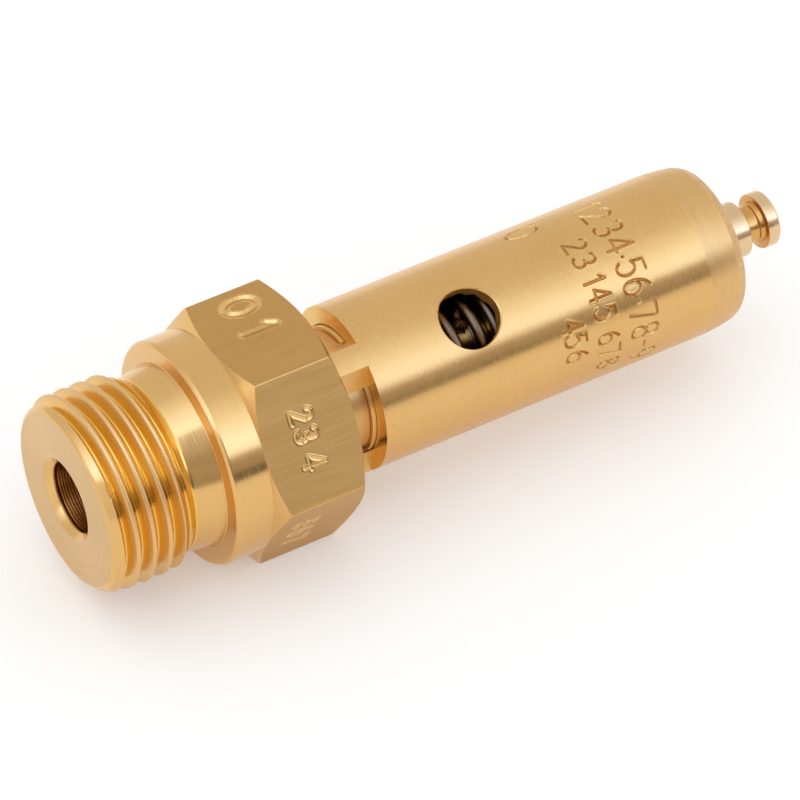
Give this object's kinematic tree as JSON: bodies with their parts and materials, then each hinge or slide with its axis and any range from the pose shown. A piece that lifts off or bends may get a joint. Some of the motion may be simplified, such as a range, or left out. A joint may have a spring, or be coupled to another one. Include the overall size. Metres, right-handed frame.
{
  "type": "pressure relief valve",
  "caption": "Turned brass pressure relief valve with threaded inlet, hexagon, slotted spring barrel with side hole, and a grooved lifting knob.",
  "frame": {"origin": "centre of the inlet face, on the valve's axis", "axes": "+X along the valve's axis from the inlet to the lifting knob, +Z square to one hexagon flat"},
  "size_m": [0.0831, 0.0278, 0.024],
  "materials": {
    "brass_body": "turned and milled",
    "brass_housing": "fine circumferential brushing",
    "brass_inner": "turned",
    "brass_cap": "faced",
    "brass_knob": "fine turned",
    "spring_steel": "drawn wire",
    "stainless": "turned",
    "seal_elastomer": "matte",
    "guide_ptfe": "plain"
  },
  "bodies": {
    "valve": {"inlet_body": "brass_body", "spring_housing": "brass_housing", "compression_spring": "spring_steel", "upper_spring_plate": "brass_inner", "adjusting_screw": "brass_inner", "guide_bush": "guide_ptfe", "lock_ring": "brass_inner", "end_cap": "brass_cap"},
    "lift": {"lift_disc": "brass_inner", "seat_seal": "seal_elastomer", "seal_washer": "stainless", "seal_screw": "stainless", "thrust_ball": "stainless", "cross_pins": "stainless", "lower_spring_plate": "brass_inner"},
    "spindle": {"spindle": "brass_inner", "spindle_ring": "stainless", "pull_knob": "brass_knob"}
  },
  "joints": [
    {"name": "disc_lift", "type": "slide", "parent": "valve", "child": "lift", "axis": [1, 0, 0], "range_m": [0, 0.0015], "stiffness_N_per_m": 6000, "springref_m": -0.004, "deforming": ["compression_spring"]},
    {"name": "knob_spin", "type": "hinge", "parent": "lift", "child": "spindle", "pos_m": [0.08, 0, 0], "axis": [1, 0, 0], "continuous": true}
  ]
}
